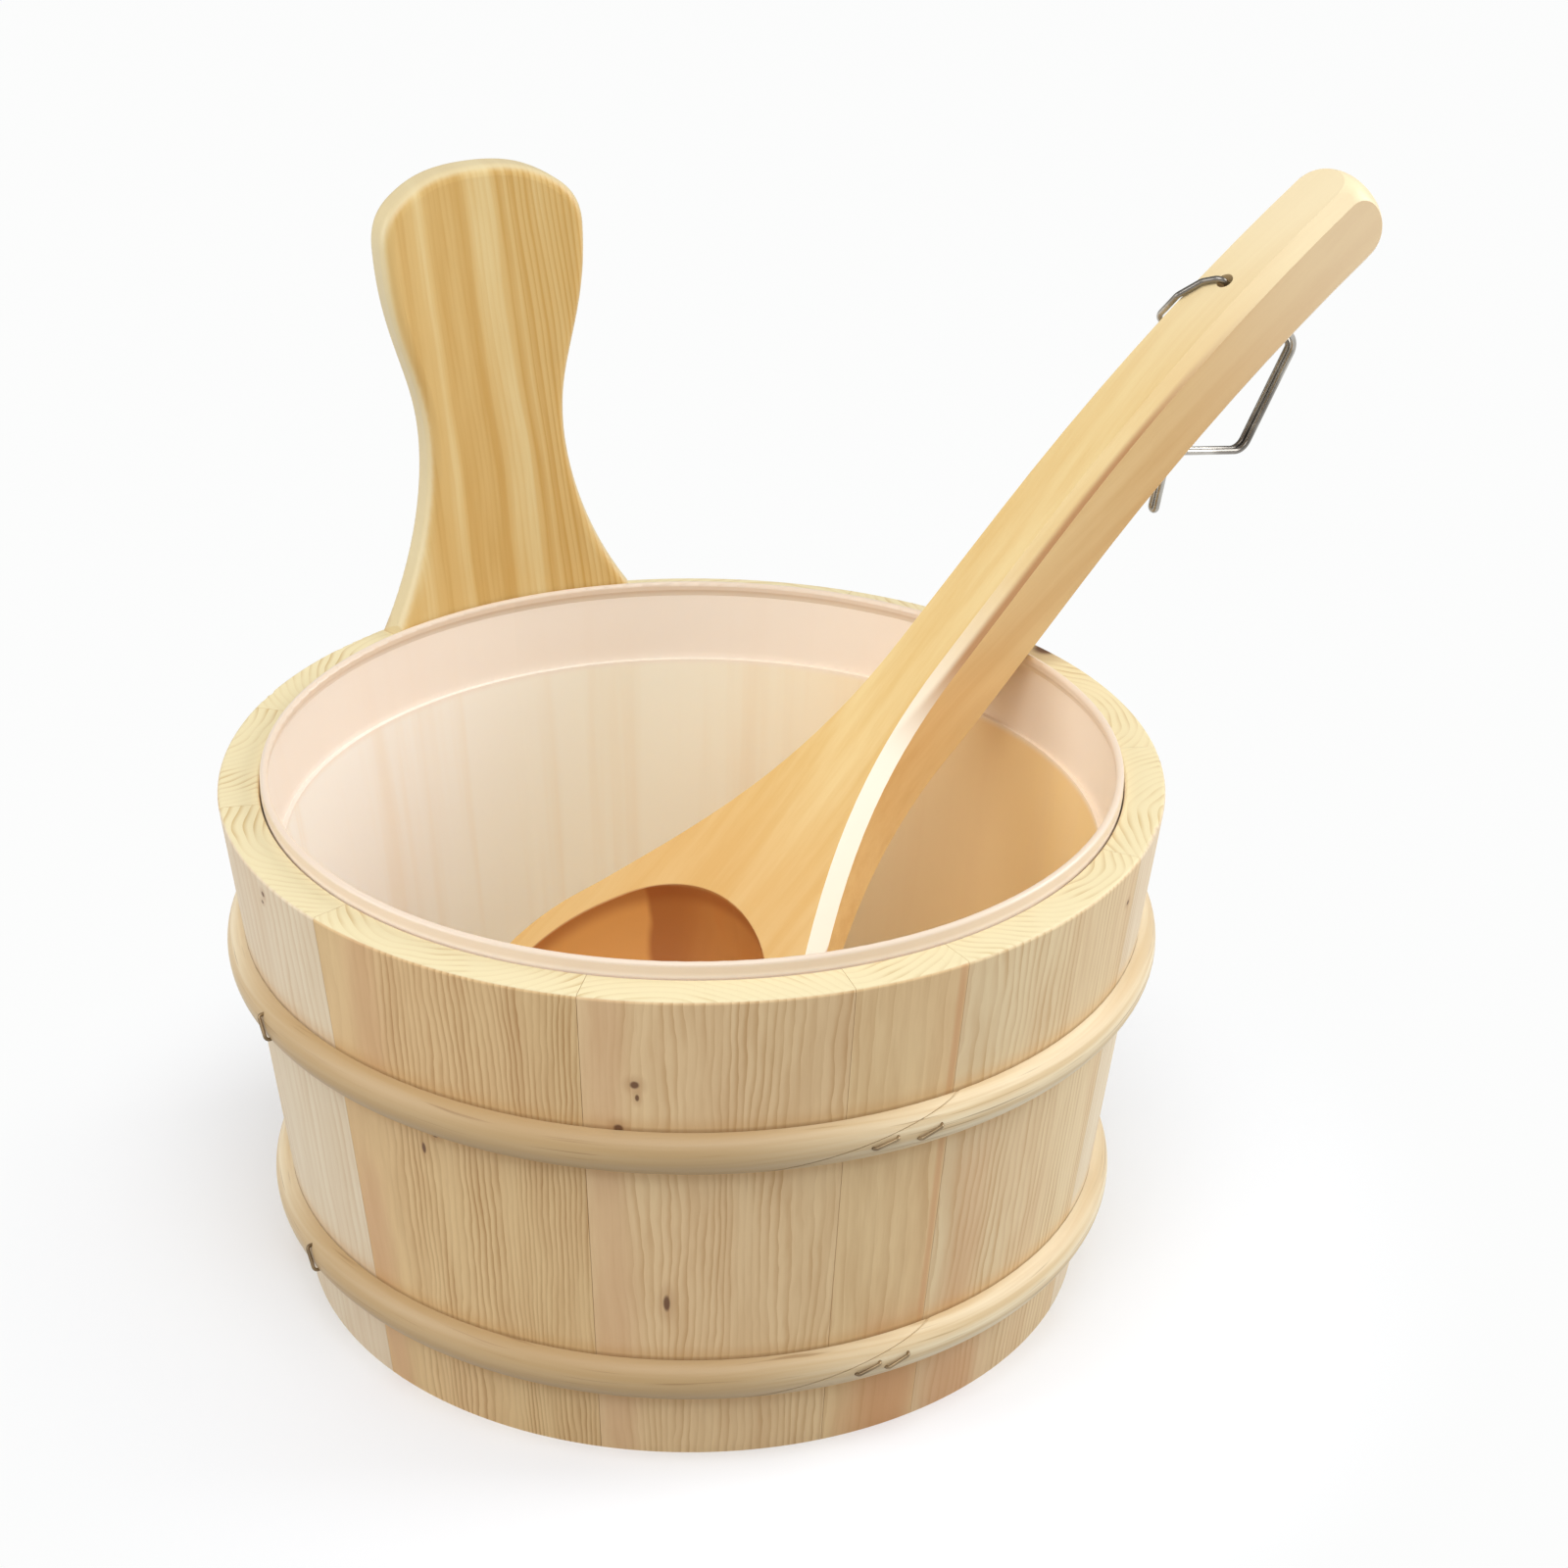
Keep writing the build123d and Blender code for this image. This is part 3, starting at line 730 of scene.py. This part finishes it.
        # Painted shade across the hollow, deepening towards its far side
        slant = g.plus(g.along(place, level_way(self.shade_azimuth)), g.swing(patch, 0.5, 0.016))
        shade = g.times(g.range(slant, 0.0075, 0.0100), g.range(slant, 0.012, 0.034, 0.72, 0.45))
        bowl = g.mix(shade, self.bowl_pale, self.bowl_shade)
        bowl = g.mix(g.range(patch, 0.5, 0.75, 0.0, 0.35), bowl, self.bowl_warm)
        # Painted shade in a dark line just under the bowl's mouth
        brim_shade = g.times(g.range(reach, 0.0470, 0.0508), g.range(t, -0.006, -0.001))
        bowl = g.mix(g.times(brim_shade, 0.6), bowl, self.bowl_shade)
        colour = g.mix(hollow, colour, bowl)
        return g.finish(colour, roughness=0.4, normal=g.bump(fibre, distance=0.00007, strength=0.5))


@dataclass(frozen=True)
class LinerPlastic:
    """Milky plastic through which the wood behind it shows a little.

    Attributes:
        name: the material's name.
        milk, cream, amber: colours of the tub from the side away from the ladle to the side by it: painted
            light on the far side, and a warm painted shade by the ladle.
        blush: colour of the collar, which stands closest to the wall.
        edge_tone: colour of the lip, which stands on the rim.
        collar_z: height of the step below the collar, in metres.
        lip_z: height of the lip, in metres.
        stave: colour of the streaks where the staves show through.
    """

    name: str
    milk: Colour = srgb(254, 250, 243)
    cream: Colour = srgb(255, 249, 230)
    amber: Colour = srgb(247, 212, 150)
    blush: Colour = srgb(250, 236, 223)
    edge_tone: Colour = srgb(232, 212, 190)
    collar_z: float = 0.1279
    lip_z: float = 0.1510
    stave: Colour = srgb(240, 206, 160)

    def material(self) -> bpy.types.Material:
        """Build the material.

        Returns:
            The material.
        """
        g = Graph(self.name)
        x, y, z = g.split(g.vector("SUBTRACT", g.coordinates(), PAIL_AXIS).outputs[0])
        # Painted light and shade: pale on the far side of the tub, warm and darker in the ladle's shade
        rightwards = g.along(g.join(x, y, 0.0), level_way(CAMERA_TURN))
        cloud = g.noise(g.scaled((x, y, z), (9, 9, 9)), detail=1.0)
        place = g.plus(rightwards, g.swing(cloud, 0.5, 0.05))
        share = g.range(place, -0.115, 0.115, ease=Ease.STRAIGHT)
        colour = g.ramp(share, [(0.0, self.milk), (0.45, self.cream), (1.0, self.amber)])
        azimuth = g.maths("ARCTAN2", y, x)
        stripe = g.noise(g.scaled((azimuth, z, 0.0), (9, 3, 1)), rough=0.6)
        colour = g.mix(g.range(stripe, 0.45, 0.7, 0.0, 0.22), colour, self.stave)
        outward = g.vector("NORMALIZE", g.join(x, y, 0.0)).outputs[0]
        outside = g.vector("DOT_PRODUCT", g.coordinates(Reading.FACING), outward).outputs["Value"]
        colour = g.mix(g.range(outside, 0.1, 0.5), colour, self.milk)
        collar = g.range(z, self.collar_z - 0.001, self.collar_z + 0.002)
        colour = g.mix(g.times(collar, 0.8), colour, self.blush)
        # The lip's top edge takes a darker, pinker tone than the tub
        lip = g.range(z, self.lip_z - 0.0015, self.lip_z)
        colour = g.mix(g.times(lip, 0.8), colour, self.edge_tone)
        return g.finish(colour, roughness=0.32, Subsurface_Weight=0.08, Subsurface_Radius=(1.0, 0.8, 0.62),
                        Subsurface_Scale=0.002, Coat_Weight=0.08, Coat_Roughness=0.25)


@dataclass(frozen=True)
class SteelWire:
    """Drawn steel wire, a little dull.

    Attributes:
        name: the material's name.
        pale, dull: colours of the clean and of the dulled metal.
        shine: how metallic it is.
    """

    name: str
    pale: Colour = srgb(198, 194, 186)
    dull: Colour = srgb(112, 106, 100)
    shine: float = 1.0

    def material(self) -> bpy.types.Material:
        """Build the material.

        Returns:
            The material.
        """
        g = Graph(self.name)
        place = g.vector("MULTIPLY", g.coordinates(), (60, 60, 60)).outputs[0]
        patch = g.noise(place, detail=2.0)
        colour = g.mix(g.range(patch, 0.35, 0.7), self.pale, self.dull)
        return g.finish(colour, roughness=0.32, Metallic=self.shine)


def dress(nodes: Nodes, names: Iterable[str], material: bpy.types.Material) -> None:
    """Give CAD nodes a material in every slot.

    Args:
        nodes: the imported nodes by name.
        names: which of them.
        material: what they get.
    """
    for name in names:
        piece = nodes[name]
        if not piece.data.materials:
            piece.data.materials.append(material)
        for slot in piece.material_slots:
            slot.material = material
        LOG.info("finished %s with %s", name, material.name)


@dataclass
class StavedWall:
    """The ring of staves, each with its own board's grain, and the boards of the bottom.

    Attributes:
        nodes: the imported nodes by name.
        finishes: one for each plain stave, from stave_02 on.
    """

    nodes: Nodes
    finishes: tuple[StaveWood, ...]

    def build(self) -> None:
        """Finish every stave and board."""
        for number, finish in enumerate(self.finishes, start=2):
            dress(self.nodes, [f"stave_{number:02d}"], finish.material())
        dress(self.nodes, ["handle_stave"], PaddleWood("paddle_pine").material())
        boards = ["bottom_board_left", "bottom_board_middle", "bottom_board_right"]
        dress(self.nodes, boards, BoardWood("board_pine").material())


@dataclass
class Fittings:
    """The hoops and everything made of wire or plastic.

    Attributes:
        nodes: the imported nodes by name.
    """

    nodes: Nodes

    def build(self) -> None:
        """Finish the hoops, hook, staples and liner."""
        dress(self.nodes, ["upper_hoop"], HoopWood("upper_hoop_wood", UPPER_HOOP[0]).material())
        dress(self.nodes, ["lower_hoop"], HoopWood("lower_hoop_wood", LOWER_HOOP[0]).material())
        dress(self.nodes, ["ladle_hook"], SteelWire("hook_steel").material())
        staple = SteelWire("staple_steel", pale=srgb(160, 138, 106), dull=srgb(84, 66, 46), shine=0.6)
        dress(self.nodes, ["upper_hoop_staples", "lower_hoop_staples"], staple.material())
        dress(self.nodes, ["liner"], LinerPlastic("liner_plastic").material())


@dataclass
class Ladle:
    """The ladle, which stands in the liner.

    Attributes:
        nodes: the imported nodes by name.
        azimuth, pitch: the way that its handle points, in degrees.
        centre: middle of its bowl's mouth, in metres.
    """

    nodes: Nodes
    azimuth: float = 5.7
    pitch: float = 34.8079
    centre: Triple = (-0.0806496, -0.0020522, 0.0661172)

    def build(self) -> None:
        """Finish the ladle."""
        turn, tilt = math.radians(self.azimuth), math.radians(self.pitch)
        run = (math.cos(turn) * math.cos(tilt), math.sin(turn) * math.cos(tilt), math.sin(tilt))
        side = (math.sin(turn), -math.cos(turn), 0.0)
        up = (-math.cos(turn) * math.sin(tilt), -math.sin(turn) * math.sin(tilt), math.cos(tilt))
        dress(self.nodes, ["ladle"], LadleWood("ladle_wood", self.centre, run, side, up).material())


@dataclass(frozen=True)
class Lamp:
    """A square soft lamp.

    Attributes:
        name: its name.
        place: where it hangs, in metres.
        size: its side, in metres.
        watts: its power.
    """

    name: str
    place: Triple
    size: float
    watts: float

    def hang(self, target: Triple) -> None:
        """Add the lamp to the scene.

        Args:
            target: where it points.
        """
        data = bpy.data.lights.new(self.name, "AREA")
        data.size, data.energy = self.size, self.watts
        piece = bpy.data.objects.new(self.name, data)
        bpy.context.scene.collection.objects.link(piece)
        aim = Vector(target) - Vector(self.place)
        matrix = aim.to_track_quat("-Z", "Y").to_matrix().to_4x4()
        matrix.translation = Vector(self.place)
        piece.matrix_world = matrix


@dataclass(frozen=True)
class Studio:
    """Pale floor, soft light and the photograph's camera.

    Attributes:
        lens, sensor: focal length and width of the sensor, in millimetres.
        clip: nearest and farthest distance that the camera sees, in metres.
        distance, height, turn: the camera's place: metres from the pail's axis and above the floor,
            and degrees round the pail from -Y.
        pan, tilt, roll: where it looks, in radians: to its right, down, and about its own axis.
        floor_size: side of the floor, in metres.
        floor_lit: the floor's colour as it lights the object.
        floor_white, floor_glow: the floor's colours as it is seen, in the shadow and away from it.
        shadow, shadow_share: metres from the pail's axis over which the shadow fades, and from what to what.
        fill, fill_strength: colour and strength of the light from all round.
        backdrop: colour that is seen behind the object.
        target: where the lamps point.
        lamps: the lamps.
    """

    lens: float = 78.75
    sensor: float = 36.0
    clip: Span = (0.01, 50.0)
    distance: float = 0.84826
    height: float = 0.57051
    turn: float = CAMERA_TURN
    pan: float = 0.02962
    tilt: float = 0.46649
    roll: float = 0.013605
    floor_size: float = 6.0
    floor_lit: Colour = (0.42, 0.42, 0.415)
    floor_white: Colour = (0.93, 0.955, 1.0)
    floor_glow: Colour = (0.975, 0.978, 0.975)
    shadow: Span = (0.12, 0.24)
    shadow_share: Span = (0.85, 0.01)
    fill: Colour = (1.0, 0.995, 0.985)
    fill_strength: float = 0.42
    backdrop: Colour = (0.975, 0.98, 0.965)
    target: Triple = (PAIL_X, PAIL_Y, 0.1)
    lamps: tuple[Lamp, ...] = (
        Lamp("key", (-0.60, -0.80, 1.74), size=1.3, watts=18.5),
        Lamp("left", (-1.50, 0.40, 0.80), size=1.1, watts=9.5),
        Lamp("right", (1.42, -0.42, 0.88), size=1.0, watts=17.0),
    )

    def camera(self) -> None:
        """Make the camera."""
        data = bpy.data.cameras.new("camera")
        data.lens, data.sensor_width = self.lens, self.sensor
        data.clip_start, data.clip_end = self.clip
        eye = bpy.data.objects.new("camera", data)
        bpy.context.scene.collection.objects.link(eye)
        swing = Matrix.Rotation(math.radians(self.turn), 3, "Z")
        forward = Vector((math.sin(self.pan) * math.cos(self.tilt), math.cos(self.pan) * math.cos(self.tilt),
                          -math.sin(self.tilt)))
        right = forward.cross(Vector((0, 0, 1))).normalized()
        above = right.cross(forward)
        rolled = right * math.cos(self.roll) + above * math.sin(self.roll)
        above = rolled.cross(forward)
        axes = Matrix((rolled, above, -forward)).transposed()
        place = Vector((0, -self.distance, self.height))
        matrix = (swing @ axes).to_4x4()
        matrix.translation = swing @ place + Vector(PAIL_AXIS)
        eye.matrix_world = matrix
        bpy.context.scene.camera = eye

    def floor(self) -> None:
        """Make the floor, which keeps the object's shadow."""
        data = bpy.data.meshes.new("floor")
        half = self.floor_size / 2
        corners = [(-half, -half, 0), (half, -half, 0), (half, half, 0), (-half, half, 0)]
        data.from_pydata(corners, [], [(0, 1, 2, 3)])
        piece = bpy.data.objects.new("floor", data)
        bpy.context.scene.collection.objects.link(piece)
        data.materials.append(self.floor_paint())

    def floor_paint(self) -> bpy.types.Material:
        """Build the floor's material, white where it is seen and grey where it lights the object.

        Returns:
            The material.
        """
        g = Graph("floor_white")
        lit = g.add("BsdfDiffuse", {"Color": self.floor_lit})
        white = g.add("BsdfDiffuse", {"Color": self.floor_white})
        glow = g.add("Emission", {"Color": self.floor_glow, "Strength": 1.0})
        away = g.vector("DISTANCE", g.coordinates(), PAIL_AXIS).outputs["Value"]
        share = g.range(away, *self.shadow, *self.shadow_share)
        seen = g.add("MixShader", {0: share, 1: glow.outputs[0], 2: white.outputs[0]})
        path = g.add("LightPath", {})
        direct = g.maths("MAXIMUM", path.outputs["Is Camera Ray"], path.outputs["Is Glossy Ray"])
        direct = g.maths("MAXIMUM", direct, path.outputs["Is Transmission Ray"])
        either = g.add("MixShader", {0: direct, 1: lit.outputs[0], 2: seen.outputs[0]})
        g.add("OutputMaterial", {"Surface": either.outputs[0]})
        return g.material

    def world(self) -> None:
        """Light the scene evenly from all round and show white behind it."""
        scene = bpy.context.scene
        scene.world = bpy.data.worlds.new("studio")
        scene.world.use_nodes = True
        tree = scene.world.node_tree
        tree.nodes.clear()
        path = tree.nodes.new("ShaderNodeLightPath")
        fill, seen = (tree.nodes.new("ShaderNodeBackground") for _ in range(2))
        fill.inputs[0].default_value = (*self.fill, 1.0)
        fill.inputs[1].default_value = self.fill_strength
        seen.inputs[0].default_value = (*self.backdrop, 1.0)
        either = tree.nodes.new("ShaderNodeMath")
        either.operation = "MAXIMUM"
        tree.links.new(path.outputs["Is Camera Ray"], either.inputs[0])
        tree.links.new(path.outputs["Is Transmission Ray"], either.inputs[1])
        mixer = tree.nodes.new("ShaderNodeMixShader")
        output = tree.nodes.new("ShaderNodeOutputWorld")
        tree.links.new(either.outputs[0], mixer.inputs[0])
        tree.links.new(fill.outputs[0], mixer.inputs[1])
        tree.links.new(seen.outputs[0], mixer.inputs[2])
        tree.links.new(mixer.outputs[0], output.inputs["Surface"])
        scene.view_settings.view_transform = "Standard"

    def build(self) -> None:
        """Make the world, floor, lamps and camera."""
        self.world()
        self.floor()
        for lamp in self.lamps:
            lamp.hang(self.target)
        self.camera()


def stave_finishes() -> tuple[StaveWood, ...]:
    """Return the finish of each plain stave, counter-clockwise from the handle.

    Returns:
        Eleven finishes, for stave_02 to stave_12.
    """
    return (
        StaveWood("stave_pine_02", 122.2, 0.31, lines=420, spread=4, pith_azimuth=112),
        StaveWood("stave_pine_03", 150.2, 1.12, lines=360, spread=-5, pith_azimuth=140, pith_radius=0.16),
        # Paler, greyer colours: a painted sheen where the side light falls
        StaveWood("stave_pine_04", 179.4, 2.47, lines=260, spread=5, pith_azimuth=172, strength=0.4,
                  pale=srgb(238, 221, 192), deep=srgb(214, 184, 144), warm=srgb(226, 190, 156),
                  knots=(Knot(183.0, 0.1445, 0.0009), Knot(182.4, 0.1415, 0.0006))),
        StaveWood("stave_pine_05", 212.2, 3.73, lines=540, spread=2.5, pith_azimuth=205, pith_radius=0.095,
                  clear=(-0.026, -0.012), strength=0.75, pale=srgb(232, 200, 148), deep=srgb(186, 142, 88),
                  patches=(Blush(-0.0325, 0.0065, 0.0, 0.068, 0.6), Blush(-0.022, 0.006, 0.105, 0.15, 0.35)),
                  knots=(Knot(210.0, 0.0955, 0.0011), Knot(208.0, 0.0895, 0.0007, stretch=3.0))),
        StaveWood("stave_pine_06", 244.9, 4.18, lines=480, spread=-1.5, pith_azimuth=238, pith_radius=0.165,
                  clear=(-0.029, -0.016), strength=0.6, pale=srgb(244, 214, 166), deep=srgb(200, 156, 102),
                  patches=(Blush(-0.0265, 0.0065, 0.0, 0.15, 0.4),),
                  knots=(Knot(235.75, 0.1235, 0.0013), Knot(236.0, 0.1195, 0.0006, stretch=2.0),
                         Knot(233.75, 0.1095, 0.0014), Knot(239.0, 0.0525, 0.0010, stretch=3.2))),
        StaveWood("stave_pine_07", 267.1, 5.59, lines=210, spread=-14, pith_azimuth=262, strength=0.34,
                  pale=srgb(242, 212, 162), warm=srgb(216, 156, 104),
                  patches=(Blush(0.004, 0.012, -0.01, 0.030, 0.75), Blush(0.0135, 0.0012, 0.02, 0.15, 0.55))),
        StaveWood("stave_pine_08", 290.6, 6.87, lines=430, spread=2, pith_azimuth=300, strength=0.6,
                  pale=srgb(242, 219, 176), deep=srgb(206, 166, 114),
                  stain_and_bounce_light=srgb(222, 168, 100), warm=srgb(212, 150, 98),
                  patches=(Blush(-0.020, 0.014, -0.01, 0.024, 0.6), Blush(-0.024, 0.008, 0.03, 0.085, 0.3)),
                  knots=(Knot(305.0, 0.138, 0.0008),)),
        # stave_09 and stave_10: paler, greyer colours are a painted sheen where the side light falls, and
        # their warm hoop bands painted reflected light
        StaveWood("stave_pine_09", 322.1, 7.26, lines=450, spread=-3, pith_azimuth=318, pith_radius=0.16,
                  strength=0.5, pale=srgb(246, 230, 200), deep=srgb(216, 186, 142), stain_and_bounce_light=srgb(240, 196, 130)),
        StaveWood("stave_pine_10", 354.1, 8.64, lines=380, spread=4, pith_azimuth=350,
                  pale=srgb(250, 240, 220), deep=srgb(226, 202, 166), stain_and_bounce_light=srgb(240, 200, 140),
                  knots=(Knot(8.6, 0.1483, 0.0045),)),
        StaveWood("stave_pine_11", 25.6, 9.35, lines=330, spread=-4, pith_azimuth=20, pith_radius=0.17,
                  pale=srgb(242, 219, 176), deep=srgb(204, 166, 114)),
        StaveWood("stave_pine_12", 55.9, 10.91, lines=400, spread=3, pith_azimuth=50),
    )


def main() -> None:
    """Finish the part, then set up the studio."""
    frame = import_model()
    nodes = frame["nodes"]
    StavedWall(nodes, stave_finishes()).build()
    Fittings(nodes).build()
    Ladle(nodes).build()
    Studio().build()


if __name__ == "__main__":
    main()
